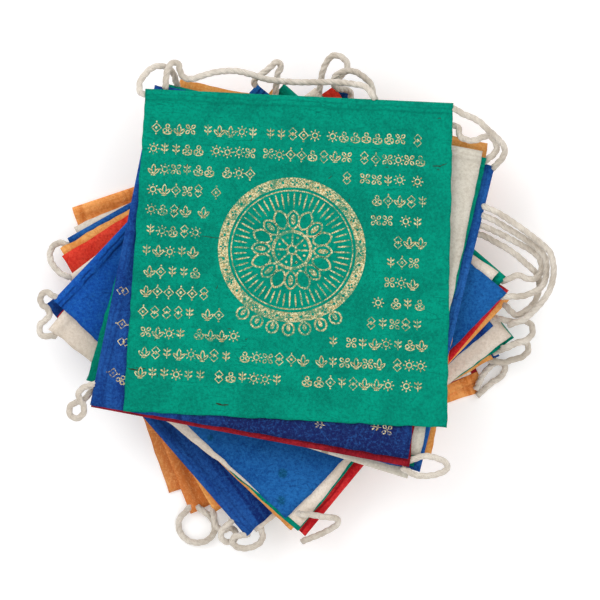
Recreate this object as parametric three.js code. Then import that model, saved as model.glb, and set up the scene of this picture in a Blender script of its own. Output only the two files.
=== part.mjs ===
// Tibetan prayer flag string: square flags of thick fibre paper, threaded by their
// folded hems on one twisted cotton cord and wound into a fanned pile.
// Millimetres, +Z up. The photo looks straight down: +X is its right and +Y its top.
import * as THREE from "three";

// Driving sizes.
const SHEET = 1.0;
const CORD = 3.5;
const GAP = 0.3;
const HEM_WIDTH = 6;
const HEM_HEIGHT = 3.4;

// A flag's cells each way, and how far its cut edges waver.
const CELLS = 8;
const WAVER = 0.5;

// How a flag settles: the rounds it takes, how far a point eases towards its neighbours
// in one round and how much it sags then, and the rounds that only lift it at the end.
const SETTLING = 24;
const EASE = 0.5;
const DROOP = 0.05;
const LAST_LIFTS = 4;

// The pile's height map: one height a square of STEP, over a field of HALF each way.
const STEP = 1;
const HALF = 150;
const SIDE = (2 * HALF) / STEP + 1;

const COLOURS = {
  green: 0x00967a,
  blue: 0x1c55a6,
  red: 0xb4222c,
  orange: 0xdd8a40,
  white: 0xd8cfc2,
  cord: 0xcfc6ba,
};
const materials = {};
for (const [slot, colour] of Object.entries(COLOURS)) {
  materials[slot] = new THREE.MeshStandardMaterial({ color: colour, roughness: 0.85, metalness: 0 });
}

// One row a flag, from the bottom of the pile up: its colour, the side that holds its
// hem, and its corners in its own order: top left, top right, bottom right, bottom left.
const FLAGS = [
  { slot: "orange", hem: "left", corners: [[39, 98], [90, -46.5], [-66, -97], [-114.5, 46.5]] },
  { slot: "orange", hem: "bottom", corners: [[31, 97], [91, -40], [-55, -107.5], [-111, 34]] },
  { slot: "red", hem: "right", corners: [[30, 96], [89, -36], [-47, -96], [-110, 32]] },
  { slot: "white", hem: "top", corners: [[32, 98.5], [86, -37], [-47, -94], [-113.5, 37]] },
  { slot: "blue", hem: "left", corners: [[21, 109], [100, -28], [-41, -101.5], [-117, 31]] },
  { slot: "orange", hem: "bottom", corners: [[19, 104.5], [97, -29.5], [-43, -106.5], [-120.5, 26]] },
  { slot: "red", hem: "right", corners: [[17.5, 107.5], [96, -25], [-39.5, -104.5], [-119.5, 22]] },
  { slot: "green", hem: "top", corners: [[10, 104], [107.5, -19], [-24, -112], [-114, 12]] },
  { slot: "white", hem: "left", corners: [[7.5, 106.5], [106, -18], [-22, -116.5], [-115.5, 12.5]] },
  { slot: "blue", hem: "bottom", corners: [[-4, 101.5], [97, -13], [-27, -118.5], [-127.5, -2.5]] },
  { slot: "orange", hem: "right", corners: [[-13.5, 106], [105, 0], [-4.5, -115.5], [-119, -7.5]] },
  { slot: "red", hem: "right", corners: [[-16, 101], [104.5, 4.5], [2.5, -118.5], [-122, -8.5]] },
  { slot: "green", hem: "top", corners: [[-8, 108.5], [103.5, 11.5], [-1, -116], [-117, -14]] },
  { slot: "white", hem: "left", corners: [[-30, 101.5], [99.5, 14], [0.5, -113.5], [-126, -14.5]] },
  { slot: "blue", hem: "left", corners: [[-21.5, 108], [103.5, 3.5], [-7, -109.5], [-123.5, 0]] },
  { slot: "red", hem: "bottom", corners: [[-58, 102], [85, 70], [50.5, -75], [-91, -43]] },
  { slot: "green", hem: "top", corners: [[-65, 107], [81, 72], [41.5, -73], [-107, -40.5]] },
  { slot: "orange", hem: "left", corners: [[-60, 110.5], [94, 78.5], [65.5, -79.5], [-91, -50]] },
  { slot: "white", hem: "bottom", corners: [[-60, 105], [92, 60], [54, -89.5], [-98.5, -42.5]] },
  { slot: "blue", hem: "right", corners: [[-61.5, 106], [97.5, 67], [60, -86], [-98, -48]] },
  { slot: "green", hem: "top", corners: [[-66, 108], [93.5, 71], [56.5, -83], [-100, -46]] },
  { slot: "white", hem: "top", corners: [[-67, 104.5], [91.5, 74.5], [60, -78.5], [-101.5, -45.5]] },
  { slot: "red", hem: "bottom", corners: [[-70, 102.5], [73, 67.5], [54.5, -83.5], [-104.5, -53.5]] },
  { slot: "blue", hem: "left", corners: [[-72.5, 107.5], [75.5, 79], [54, -79.5], [-105, -52.5]] },
  { slot: "green", hem: "top", corners: [[-77, 105.5], [76.5, 98.5], [73.5, -64], [-88.5, -55.5]] },
];

// The corner that a hem's fold starts from.
const HEM_START = { top: 0, right: 1, bottom: 2, left: 3 };

// Rows across a hem: distance from its fold, and the height of the rolled cloth there.
const HEM_ROWS = [
  { away: 0.25 * HEM_WIDTH, high: 0.95 * HEM_HEIGHT },
  { away: 0.7 * HEM_WIDTH, high: HEM_HEIGHT },
  { away: HEM_WIDTH, high: 0.4 * HEM_HEIGHT },
  { away: 1.35 * HEM_WIDTH, high: SHEET },
];
const FOLD_HIGH = 0.55 * HEM_HEIGHT;

// The pile so far, as the highest point over each square.
const pile = new Float32Array(SIDE * SIDE);
const toSquare = (value) => Math.round((value + HALF) / STEP);

const heightAt = (x, y) => pile[toSquare(y) * SIDE + toSquare(x)];

function raisePile(x, y, z) {
  const square = toSquare(y) * SIDE + toSquare(x);
  pile[square] = Math.max(pile[square], z);
}

// A small, even-tempered waver in -1 to 1, for edges cut and torn by hand.
const WAVES = [
  { share: 0.6, often: 2.1, shift: 1.7 },
  { share: 0.4, often: 4.7, shift: 2.9 },
];
const waver = (place, seed) =>
  WAVES.reduce((sum, { share, often, shift }) => sum + share * Math.sin(place * often + seed * shift), 0);

// The grid of a flag. Its lay is an even grid of heights, CELLS by CELLS, and each point
// of the mesh takes its height from the one or two points of the lay that hold it.
function flagGrid(row, seed) {
  const first = HEM_START[row.hem];
  const [p0, p1, p2, p3] = [0, 1, 2, 3].map((k) => new THREE.Vector2(...row.corners[(first + k) % 4]));
  const deep = p0.distanceTo(p3);
  const across = p1.clone().sub(p0).normalize();
  const down = p3.clone().sub(p0).normalize();
  const wide = CELLS + 1;
  const rows = [{ cell: 0, high: FOLD_HIGH }];
  for (const { away, high } of HEM_ROWS) rows.push({ cell: (away / deep) * CELLS, high });
  for (let k = 1; k <= CELLS; k++) rows.push({ cell: k, high: SHEET });
  const points = [];
  for (const { cell, high } of rows) {
    for (let i = 0; i <= CELLS; i++) {
      const near = p0.clone().lerp(p1, i / CELLS);
      const far = p3.clone().lerp(p2, i / CELLS);
      const point = near.lerp(far, cell / CELLS);
      if (cell === CELLS) point.addScaledVector(down, WAVER * waver(i, seed));
      if (i === 0) point.addScaledVector(across, WAVER * waver(cell, seed + 1));
      if (i === CELLS) point.addScaledVector(across, WAVER * waver(cell, seed + 2));
      const low = Math.min(Math.floor(cell), CELLS - 1);
      const held = [[low * wide + i, low + 1 - cell], [(low + 1) * wide + i, cell - low]];
      points.push({ x: point.x, y: point.y, high, held });
    }
  }
  const triangles = [];
  for (let j = 0; j + 1 < rows.length; j++) {
    for (let i = 0; i < CELLS; i++) {
      const a = j * wide + i;
      triangles.push([a, a + 1, a + wide + 1], [a, a + wide + 1, a + wide]);
    }
  }
  const places = points.filter((_, k) => Number.isInteger(rows[Math.floor(k / wide)].cell));
  const under = places.map(({ x, y }) => heightAt(x, y));
  const laid = under.filter((height) => height > 0);
  const level = laid.reduce((sum, height) => sum + height, 0) / Math.max(1, laid.length);
  const lay = under.map((height) => Math.max(height, level) + GAP);
  return { points, triangles, wide, tall: rows.length, lay };
}

// The height of the cloth's under side at a point of the mesh.
const underside = (grid, point) => point.held.reduce((sum, [k, share]) => sum + grid.lay[k] * share, 0);

// Calls visit for points spread over a triangle, with their weights.
function overTriangle(points, [a, b, c], spacing, visit) {
  const [pa, pb, pc] = [points[a], points[b], points[c]];
  const longest = Math.max(
    Math.hypot(pa.x - pb.x, pa.y - pb.y),
    Math.hypot(pb.x - pc.x, pb.y - pc.y),
    Math.hypot(pc.x - pa.x, pc.y - pa.y),
  );
  const steps = Math.max(1, Math.ceil(longest / spacing));
  for (let i = 0; i <= steps; i++) {
    for (let j = 0; i + j <= steps; j++) {
      const wa = i / steps;
      const wb = j / steps;
      const wc = 1 - wa - wb;
      visit(pa.x * wa + pb.x * wb + pc.x * wc, pa.y * wa + pb.y * wb + pc.y * wc, wa, wb, wc);
    }
  }
}

// Lifts the lay where the cloth is nearer to the pile or the surface than it may be.
function liftOffPile(grid) {
  const { points, triangles, lay } = grid;
  for (const triangle of triangles) {
    const corners = triangle.map((k) => points[k]);
    overTriangle(points, triangle, 2 * STEP, (x, y, ...weights) => {
      const shares = new Map();
      corners.forEach((corner, n) => {
        for (const [k, share] of corner.held) shares.set(k, (shares.get(k) ?? 0) + share * weights[n]);
      });
      let height = 0;
      let squares = 0;
      for (const [k, share] of shares) {
        height += lay[k] * share;
        squares += share * share;
      }
      const under = heightAt(x, y);
      const short = (under > 0 ? under + GAP : 0) - height;
      if (short <= 0) return;
      for (const [k, share] of shares) lay[k] += (short * share) / squares;
    });
  }
}

// Smooths the lay as stiff cloth does: free edges run on straight or level, and it droops.
function relax(lay) {
  const wide = CELLS + 1;
  const z = lay.slice();
  const beside = (k, step, place) => {
    if (place > 0 && place < CELLS) return (z[k - step] + z[k + step]) / 2;
    const inward = place === 0 ? step : -step;
    return Math.min(2 * z[k + inward] - z[k + 2 * inward], z[k + inward]);
  };
  for (let k = 0; k < lay.length; k++) {
    const target = (beside(k, 1, k % wide) + beside(k, wide, Math.floor(k / wide))) / 2;
    lay[k] += EASE * (target - z[k]) - DROOP;
  }
}

// Lays a flag on the pile: down to rest, then clear of it everywhere.
function layOnPile(grid) {
  for (let round = 0; round < SETTLING; round++) {
    relax(grid.lay);
    liftOffPile(grid);
  }
  for (let round = 0; round < LAST_LIFTS; round++) liftOffPile(grid);
  for (const triangle of grid.triangles) {
    const tops = triangle.map((k) => underside(grid, grid.points[k]) + grid.points[k].high);
    overTriangle(grid.points, triangle, STEP / 2, (x, y, wa, wb, wc) => {
      raisePile(x, y, tops[0] * wa + tops[1] * wb + tops[2] * wc);
    });
  }
}

// A closed mesh from the grid: its upper and under sides and the edge between them.
function flagMesh(name, row, grid) {
  const { points, triangles, wide, tall } = grid;
  const count = points.length;
  const position = [];
  for (const point of points) position.push(point.x, point.y, underside(grid, point) + point.high);
  for (const point of points) position.push(point.x, point.y, underside(grid, point));
  const index = [];
  for (const [a, b, c] of triangles) index.push(a, c, b, a + count, b + count, c + count);
  const rim = [];
  for (let i = 0; i < wide - 1; i++) rim.push(i);
  for (let j = 0; j < tall - 1; j++) rim.push(j * wide + wide - 1);
  for (let i = wide - 1; i > 0; i--) rim.push((tall - 1) * wide + i);
  for (let j = tall - 1; j > 0; j--) rim.push(j * wide);
  rim.forEach((a, k) => {
    const b = rim[(k + 1) % rim.length];
    index.push(a, b, b + count, a, b + count, a + count);
  });
  const geometry = new THREE.BufferGeometry();
  geometry.setAttribute("position", new THREE.Float32BufferAttribute(position, 3));
  geometry.setIndex(index);
  geometry.computeVertexNormals();
  const mesh = new THREE.Mesh(geometry, materials[row.slot]);
  mesh.name = name;
  return mesh;
}

const pileOfFlags = new THREE.Group();
FLAGS.forEach((row, k) => {
  const grid = flagGrid(row, k);
  layOnPile(grid);
  const number = String(k + 1).padStart(2, "0");
  pileOfFlags.add(flagMesh(`flag_${number}_${row.slot}`, row, grid));
});

// The cord's visible lengths, each from the end of one hem to the next. The cord runs on
// unseen inside the hems, whose solids stand for it there.
const CORD_ROUTES = {
  loop_top_left: [
    [-79.5, 103.5, 63.5], [-80, 108.5, 62.5], [-77.5, 112.5, 61], [-74.5, 115.5, 59],
    [-70.5, 117, 57], [-66.5, 116, 55], [-63.5, 113.5, 52.5], [-62, 109, 50],
  ],
  tail: [
    [-67.2, 106.8, 60.8], [-66.8, 111.5, 61.5], [-65.8, 115.6, 61.5], [-63.5, 118.6, 60.5],
    [-60.8, 117.8, 59.5], [-60, 114.6, 58.5], [-58.3, 111.4, 57.5], [-54.5, 110.4, 56.5],
    [-49.5, 111.8, 56], [-42.5, 113.8, 54.5], [-32.5, 114.5, 51], [-25, 113, 48], [-17, 110.5, 45],
    [-9, 109.5, 43], [-1, 109, 43], [8.5, 109, 43], [18, 109, 44], [27, 108, 46], [33, 106.5, 49],
    [36.4, 102.1, 51.7],
  ],
  loop_top_middle: [
    [-23, 109.6, 33], [-21, 112, 33.5], [-18, 114, 34], [-15, 116.5, 34.5], [-12, 119, 34.5],
    [-9.8, 118.4, 34], [-10, 115.6, 33.5], [-11.3, 113.2, 33], [-11.5, 110.6, 32.5],
    [-12, 107, 31.6],
  ],
  loop_top_high: [
    [9.8, 105.9, 22], [10.5, 110.5, 23], [11.5, 115, 24], [13.5, 119.5, 25], [16.5, 122.5, 26],
    [20.5, 122, 26.5], [23.5, 119, 26.5], [23.5, 115.5, 26], [21, 113, 24.5], [19.5, 111, 22],
    [18, 108.8, 17.2],
  ],
  loop_top_twist: [
    [35.5, 108, 36], [31.5, 112, 36], [27, 114.5, 35], [22, 114.5, 34], [18, 112.5, 33],
    [16.5, 109, 31], [19, 106, 28], [23, 105.5, 21], [25.4, 103.8, 13.8],
  ],
  loop_right_top: [
    [78.4, 95, 50], [81.5, 93, 50], [86.5, 91, 49], [90.5, 88.5, 48.5], [93.5, 85.5, 48],
    [97, 82.5, 46.5], [100.5, 79, 45], [102.5, 75.5, 43], [101.5, 71.5, 41], [97.6, 67.1, 37.9],
  ],
  loop_right_inner: [
    [79, 86.5, 45.5], [80, 82, 44.5], [84, 80, 44], [88, 80, 43.5], [91.5, 81.5, 42.5],
    [95, 82, 41.5], [97.5, 79.5, 40.5], [98.5, 76, 39.5], [97, 73, 39], [94.4, 70.9, 39],
  ],
  strand_high: [
    [92.9, 46.5, 39.8], [98.5, 44, 41.5], [102.5, 41.5, 42], [110, 36.5, 41.5], [116, 32, 41],
    [121, 28, 40.5], [125, 24, 40], [126.5, 19.5, 39.5], [127, 13.5, 39], [126, 8, 38.5],
    [124.5, 4, 37.5], [121.5, -0.5, 36], [118, -4.5, 33.5], [112.5, -9.5, 29.5], [107.5, -11.5, 27],
  ],
  strand_second: [
    [92.3, 42, 37.5], [98, 39.5, 37.5], [102, 37, 37.5], [109.5, 32.5, 37], [115.5, 28.5, 36.5],
    [120.5, 24.5, 36], [123, 20.5, 35.5], [123.5, 16, 35], [123, 11, 34.5], [121, 6.5, 34],
    [117, 4, 33.5], [111.5, 2, 33], [104.2, 1.8, 33.2],
  ],
  strand_third: [
    [90.6, 37.4, 35.5], [97.5, 34.5, 33.5], [104.5, 31, 33], [110, 28, 32.5], [115.5, 25, 32],
    [119.5, 21.5, 31.5], [121, 17.5, 31], [120.5, 13.5, 30.5], [117, 10.5, 30], [113, 11, 30],
    [109.5, 12.5, 30.5], [104.4, 10.5, 30.8],
  ],
  strand_low: [
    [86.2, 33.9, 32.3], [92.5, 32, 29.5], [97, 29.5, 28.5], [102.5, 26.5, 28.5], [108.5, 22.5, 28], [113, 18.5, 27.5],
    [117, 15, 27], [119.5, 11.5, 26.5], [120, 7, 26], [119, 2, 26], [117, -2, 26],
    [113, -5.5, 26], [108.5, -7.5, 25.5], [103.2, -3, 23.7],
  ],
  loop_right_mid: [
    [100.8, -9.6, 23.1], [104.5, -10.5, 23.1], [108.5, -11, 23], [112.5, -10.5, 22.5], [116, -12.5, 22],
    [116.5, -17, 21.5], [113.5, -20, 21], [109.5, -21.5, 21.2], [104.6, -23.2, 21.2],
  ],
  loop_right_low: [
    [101.6, -24.8, 14.6], [105, -23.5, 13.8], [107.5, -22, 13.5], [111, -21, 13], [114, -22, 12.5],
    [114.5, -25.5, 12], [111.5, -28.5, 11.5], [106.5, -30, 11], [102, -31.5, 10.5], [98.1, -30.7, 10.6],
  ],
  loop_right_base: [
    [89.9, -41.8, 4.1], [92, -37.5, 5], [95, -34, 5], [98.5, -31.5, 4.5], [102, -31.5, 4],
    [103, -35, 3.5], [100.5, -39, 3], [96.5, -41.5, 2.6], [91.3, -46.1, 1.8],
  ],
  loop_corner: [
    [57.4, -79.4, 48.8], [62, -78, 49.5], [68, -79, 49], [73, -81.5, 48], [73.5, -84.5, 47.5],
    [69, -87, 47.5], [63, -88, 47.5], [57.5, -87.5, 47.5], [54.1, -85.6, 46.7],
  ],
  loop_red_hem: [
    [2, -107.5, 32], [5.5, -107.5, 32], [10.5, -108.5, 31], [15.5, -109, 30], [19, -110, 28.5],
    [18.5, -112.5, 26.5], [15, -115, 25], [10, -117.5, 24], [4.2, -119.8, 23.3],
  ],
  ring_bottom_left: [
    [-57.1, -106, 3], [-60.5, -110, 2.8], [-61, -114, 2.5], [-59.5, -118, 2.3], [-56, -121, 2.2],
    [-51.5, -122, 2.2], [-47, -121, 2.3], [-43.5, -117.5, 2.5], [-43, -113, 3], [-44.5, -109.5, 4],
    [-49.1, -105.8, 4.5],
  ],
  knot_bottom: [
    [-43.3, -107.5, 10.7], [-42, -113.5, 11.5], [-38.5, -115.5, 12.5], [-34.5, -114.5, 14], [-32, -117, 15],
    [-33, -120.5, 15.5], [-36.5, -121.5, 16.5], [-39.5, -119.5, 18], [-39, -115.5, 19], [-34.3, -111, 19.5],
  ],
  ring_bottom: [
    [-29, -118.1, 20.5], [-32.6, -118.6, 21], [-34, -121, 20.3], [-32.2, -123.6, 19.4],
    [-28, -124.6, 18.8], [-23.5, -123.8, 18.2], [-20, -121.6, 17.6], [-18.7, -118.8, 17.2],
    [-19.3, -115.9, 17],
  ],
  ring_left_low: [
    [-104.6, -42.6, 51], [-108.2, -43.8, 51.3], [-110.6, -46.4, 51.3], [-110.2, -49.6, 51],
    [-108.3, -52.6, 50.6], [-108.2, -56.2, 50], [-110.4, -58.8, 49.3], [-113.6, -58.7, 48.6],
    [-115.4, -56, 48], [-114.6, -52.8, 47.4], [-111.8, -51.2, 46.8], [-108.6, -50.4, 46.3],
    [-106.8, -48.4, 46.3], [-105.2, -46.5, 46.5],
  ],
  loop_left: [
    [-116.9, 27.6, 9.5], [-120.3, 28.8, 9.8], [-123.7, 27.2, 10.8], [-125.5, 23.6, 12.2],
    [-124.9, 19.2, 14.2], [-122.4, 15.6, 16.6], [-119.5, 13, 18.5], [-116.4, 11.8, 19.2],
  ],
  loop_left_knot: [
    [-123.2, 1.9, 32.5], [-127.5, 4, 32], [-130, 1.5, 31], [-129.5, -2, 30], [-127, -4, 29],
    [-125.5, -7, 28], [-127.5, -10, 27.5], [-130, -12, 27], [-130.5, -15.5, 27.5], [-129, -18, 28.5],
    [-125.6, -18, 29.5],
  ],
};
const CORD_SIDES = 8;
const CORD_STEP = 4.5;

// A round section with the cord's sides, drawn out along the route.
function cordMesh(name, route) {
  const points = route.map((point) => new THREE.Vector3(...point));
  const path = new THREE.CatmullRomCurve3(points, false, "centripetal");
  const corners = [];
  for (let k = 0; k < CORD_SIDES; k++) {
    const turn = (2 * Math.PI * k) / CORD_SIDES;
    corners.push(new THREE.Vector2((CORD / 2) * Math.cos(turn), (CORD / 2) * Math.sin(turn)));
  }
  const steps = Math.ceil(path.getLength() / CORD_STEP);
  const geometry = new THREE.ExtrudeGeometry(new THREE.Shape(corners), { steps, extrudePath: path });
  const mesh = new THREE.Mesh(geometry, materials.cord);
  mesh.name = name;
  return mesh;
}

const cord = new THREE.Group();
for (const [name, route] of Object.entries(CORD_ROUTES)) cord.add(cordMesh(`cord_${name}`, route));

// The tables are measured from the photo's middle; the part stands on the pile's own.
const PHOTO_MIDDLE = [9.93, 4.14, 0];
const string = new THREE.Group();
string.add(pileOfFlags, cord);
string.position.set(...PHOTO_MIDDLE);
export default string;
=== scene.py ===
# %% [markdown]
# This scene dresses a pile of square prayer flags. Each flag is a sheet of thick fibre
# paper with one side folded over into a hem, and one twisted cotton cord runs through
# all the hems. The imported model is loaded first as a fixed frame, because every sheet
# and every length of cord has to lie where its solid lies.

# %% Load the frame
import math
import random

import bmesh
import bpy
from mathutils import Matrix, Vector, noise
from mathutils.bvhtree import BVHTree


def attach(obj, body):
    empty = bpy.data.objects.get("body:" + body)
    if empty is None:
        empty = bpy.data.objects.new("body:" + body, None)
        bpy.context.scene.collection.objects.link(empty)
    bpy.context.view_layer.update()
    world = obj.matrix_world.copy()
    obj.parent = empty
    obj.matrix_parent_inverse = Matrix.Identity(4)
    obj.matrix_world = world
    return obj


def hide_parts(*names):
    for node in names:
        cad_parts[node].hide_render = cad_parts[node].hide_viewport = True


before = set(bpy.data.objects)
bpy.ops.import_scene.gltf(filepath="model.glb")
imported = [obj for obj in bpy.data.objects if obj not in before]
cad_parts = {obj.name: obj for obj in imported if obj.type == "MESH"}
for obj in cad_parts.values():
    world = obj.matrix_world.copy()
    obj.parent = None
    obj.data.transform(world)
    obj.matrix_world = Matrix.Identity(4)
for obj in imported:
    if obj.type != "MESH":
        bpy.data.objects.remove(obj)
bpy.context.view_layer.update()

print("solids in the frame:", len(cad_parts))

# %% [markdown]
# The sizes that the whole scene shares come next, in metres. The tables below are
# measured from the middle of the photo, and the frame's origin is the middle of the
# pile, so one small step leads from the first to the second.

# %% Shared sizes
MM = 0.001
PHOTO_MIDDLE = Vector((9.93 * MM, 4.14 * MM, 0))
PHOTO_WIDTH = 0.300
CORD = 3.5 * MM
PAPER = 0.55 * MM
SKIN = 0.02 * MM
RANDOM_SEED = 25

# %% [markdown]
# The camera looks straight down, as the photo does. All the flags there come out alike in
# size, high or low in the pile, so the lens is very long and far away. At one height
# inside the pile the view is just as wide as the photo.

# %% Camera
CAMERA_HEIGHT = 9.0
SHARP_LEVEL = 0.050
SENSOR = 36

lens = bpy.data.cameras.new("Copy_stand_lens")
lens.sensor_width = SENSOR
lens.lens = SENSOR * (CAMERA_HEIGHT - SHARP_LEVEL) / PHOTO_WIDTH
camera = bpy.data.objects.new("Copy_stand_camera", lens)
camera.location = PHOTO_MIDDLE + Vector((0, 0, CAMERA_HEIGHT))
bpy.context.collection.objects.link(camera)
bpy.context.scene.camera = camera
print("lens:", round(lens.lens), "mm")

# %% [markdown]
# The cord shows at the hems' ends as loops, and at the right as four long strands. Each
# visible length is a route of given points, the same ones that the solids follow. A
# curve through all the points makes it smooth. The centripetal kind is used, because it
# makes no kinks where points are near to each other.

# %% Routes of the cord
CORD_ROUTES = {
    "loop_top_left": [
        (-79.5, 103.5, 63.5), (-80, 108.5, 62.5), (-77.5, 112.5, 61), (-74.5, 115.5, 59),
        (-70.5, 117, 57), (-66.5, 116, 55), (-63.5, 113.5, 52.5), (-62, 109, 50),
    ],
    "tail": [
        (-67.2, 106.8, 60.8), (-66.8, 111.5, 61.5), (-65.8, 115.6, 61.5), (-63.5, 118.6, 60.5),
        (-60.8, 117.8, 59.5), (-60, 114.6, 58.5), (-58.3, 111.4, 57.5), (-54.5, 110.4, 56.5),
        (-49.5, 111.8, 56), (-42.5, 113.8, 54.5), (-32.5, 114.5, 51), (-25, 113, 48),
        (-17, 110.5, 45), (-9, 109.5, 43), (-1, 109, 43), (8.5, 109, 43), (18, 109, 44),
        (27, 108, 46), (33, 106.5, 49), (36.4, 102.1, 51.7),
    ],
    "loop_top_middle": [
        (-23, 109.6, 33), (-21, 112, 33.5), (-18, 114, 34), (-15, 116.5, 34.5), (-12, 119, 34.5),
        (-9.8, 118.4, 34), (-10, 115.6, 33.5), (-11.3, 113.2, 33), (-11.5, 110.6, 32.5),
        (-12, 107, 31.6),
    ],
    "loop_top_high": [
        (9.8, 105.9, 22), (10.5, 110.5, 23), (11.5, 115, 24), (13.5, 119.5, 25), (16.5, 122.5, 26),
        (20.5, 122, 26.5), (23.5, 119, 26.5), (23.5, 115.5, 26), (21, 113, 24.5), (19.5, 111, 22),
        (18, 108.8, 17.2),
    ],
    "loop_top_twist": [
        (35.5, 108, 36), (31.5, 112, 36), (27, 114.5, 35), (22, 114.5, 34), (18, 112.5, 33),
        (16.5, 109, 31), (19, 106, 28), (23, 105.5, 21), (25.4, 103.8, 13.8),
    ],
    "loop_right_top": [
        (78.4, 95, 50), (81.5, 93, 50), (86.5, 91, 49), (90.5, 88.5, 48.5), (93.5, 85.5, 48),
        (97, 82.5, 46.5), (100.5, 79, 45), (102.5, 75.5, 43), (101.5, 71.5, 41), (97.6, 67.1, 37.9),
    ],
    "loop_right_inner": [
        (79, 86.5, 45.5), (80, 82, 44.5), (84, 80, 44), (88, 80, 43.5), (91.5, 81.5, 42.5),
        (95, 82, 41.5), (97.5, 79.5, 40.5), (98.5, 76, 39.5), (97, 73, 39), (94.4, 70.9, 39),
    ],
    "strand_high": [
        (92.9, 46.5, 39.8), (98.5, 44, 41.5), (102.5, 41.5, 42), (110, 36.5, 41.5), (116, 32, 41),
        (121, 28, 40.5), (125, 24, 40), (126.5, 19.5, 39.5), (127, 13.5, 39), (126, 8, 38.5),
        (124.5, 4, 37.5), (121.5, -0.5, 36), (118, -4.5, 33.5), (112.5, -9.5, 29.5), (107.5, -11.5, 27),
    ],
    "strand_second": [
        (92.3, 42, 37.5), (98, 39.5, 37.5), (102, 37, 37.5), (109.5, 32.5, 37), (115.5, 28.5, 36.5),
        (120.5, 24.5, 36), (123, 20.5, 35.5), (123.5, 16, 35), (123, 11, 34.5), (121, 6.5, 34),
        (117, 4, 33.5), (111.5, 2, 33), (104.2, 1.8, 33.2),
    ],
    "strand_third": [
        (90.6, 37.4, 35.5), (97.5, 34.5, 33.5), (104.5, 31, 33), (110, 28, 32.5), (115.5, 25, 32),
        (119.5, 21.5, 31.5), (121, 17.5, 31), (120.5, 13.5, 30.5), (117, 10.5, 30), (113, 11, 30),
        (109.5, 12.5, 30.5), (104.4, 10.5, 30.8),
    ],
    "strand_low": [
        (86.2, 33.9, 32.3), (92.5, 32, 29.5), (97, 29.5, 28.5), (102.5, 26.5, 28.5), (108.5, 22.5, 28),
        (113, 18.5, 27.5), (117, 15, 27), (119.5, 11.5, 26.5), (120, 7, 26), (119, 2, 26), (117, -2, 26),
        (113, -5.5, 26), (108.5, -7.5, 25.5), (103.2, -3, 23.7),
    ],
    "loop_right_mid": [
        (100.8, -9.6, 23.1), (104.5, -10.5, 23.1), (108.5, -11, 23), (112.5, -10.5, 22.5), (116, -12.5, 22),
        (116.5, -17, 21.5), (113.5, -20, 21), (109.5, -21.5, 21.2), (104.6, -23.2, 21.2),
    ],
    "loop_right_low": [
        (101.6, -24.8, 14.6), (105, -23.5, 13.8), (107.5, -22, 13.5), (111, -21, 13), (114, -22, 12.5),
        (114.5, -25.5, 12), (111.5, -28.5, 11.5), (106.5, -30, 11), (102, -31.5, 10.5), (98.1, -30.7, 10.6),
    ],
    "loop_right_base": [
        (89.9, -41.8, 4.1), (92, -37.5, 5), (95, -34, 5), (98.5, -31.5, 4.5), (102, -31.5, 4),
        (103, -35, 3.5), (100.5, -39, 3), (96.5, -41.5, 2.6), (91.3, -46.1, 1.8),
    ],
    "loop_corner": [
        (57.4, -79.4, 48.8), (62, -78, 49.5), (68, -79, 49), (73, -81.5, 48), (73.5, -84.5, 47.5),
        (69, -87, 47.5), (63, -88, 47.5), (57.5, -87.5, 47.5), (54.1, -85.6, 46.7),
    ],
    "loop_red_hem": [
        (2, -107.5, 32), (5.5, -107.5, 32), (10.5, -108.5, 31), (15.5, -109, 30), (19, -110, 28.5),
        (18.5, -112.5, 26.5), (15, -115, 25), (10, -117.5, 24), (4.2, -119.8, 23.3),
    ],
    "ring_bottom_left": [
        (-57.1, -106, 3), (-60.5, -110, 2.8), (-61, -114, 2.5), (-59.5, -118, 2.3), (-56, -121, 2.2),
        (-51.5, -122, 2.2), (-47, -121, 2.3), (-43.5, -117.5, 2.5), (-43, -113, 3), (-44.5, -109.5, 4),
        (-49.1, -105.8, 4.5),
    ],
    "knot_bottom": [
        (-43.3, -107.5, 10.7), (-42, -113.5, 11.5), (-38.5, -115.5, 12.5), (-34.5, -114.5, 14),
        (-32, -117, 15), (-33, -120.5, 15.5), (-36.5, -121.5, 16.5), (-39.5, -119.5, 18),
        (-39, -115.5, 19), (-34.3, -111, 19.5),
    ],
    "ring_bottom": [
        (-29, -118.1, 20.5), (-32.6, -118.6, 21), (-34, -121, 20.3), (-32.2, -123.6, 19.4),
        (-28, -124.6, 18.8), (-23.5, -123.8, 18.2), (-20, -121.6, 17.6), (-18.7, -118.8, 17.2),
        (-19.3, -115.9, 17),
    ],
    "ring_left_low": [
        (-104.6, -42.6, 51), (-108.2, -43.8, 51.3), (-110.6, -46.4, 51.3), (-110.2, -49.6, 51),
        (-108.3, -52.6, 50.6), (-108.2, -56.2, 50), (-110.4, -58.8, 49.3), (-113.6, -58.7, 48.6),
        (-115.4, -56, 48), (-114.6, -52.8, 47.4), (-111.8, -51.2, 46.8), (-108.6, -50.4, 46.3),
        (-106.8, -48.4, 46.3), (-105.2, -46.5, 46.5),
    ],
    "loop_left": [
        (-116.9, 27.6, 9.5), (-120.3, 28.8, 9.8), (-123.7, 27.2, 10.8), (-125.5, 23.6, 12.2),
        (-124.9, 19.2, 14.2), (-122.4, 15.6, 16.6), (-119.5, 13, 18.5), (-116.4, 11.8, 19.2),
    ],
    "loop_left_knot": [
        (-123.2, 1.9, 32.5), (-127.5, 4, 32), (-130, 1.5, 31), (-129.5, -2, 30), (-127, -4, 29),
        (-125.5, -7, 28), (-127.5, -10, 27.5), (-130, -12, 27), (-130.5, -15.5, 27.5), (-129, -18, 28.5),
        (-125.6, -18, 29.5),
    ],
}
print("lengths of cord that show:", len(CORD_ROUTES))

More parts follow.
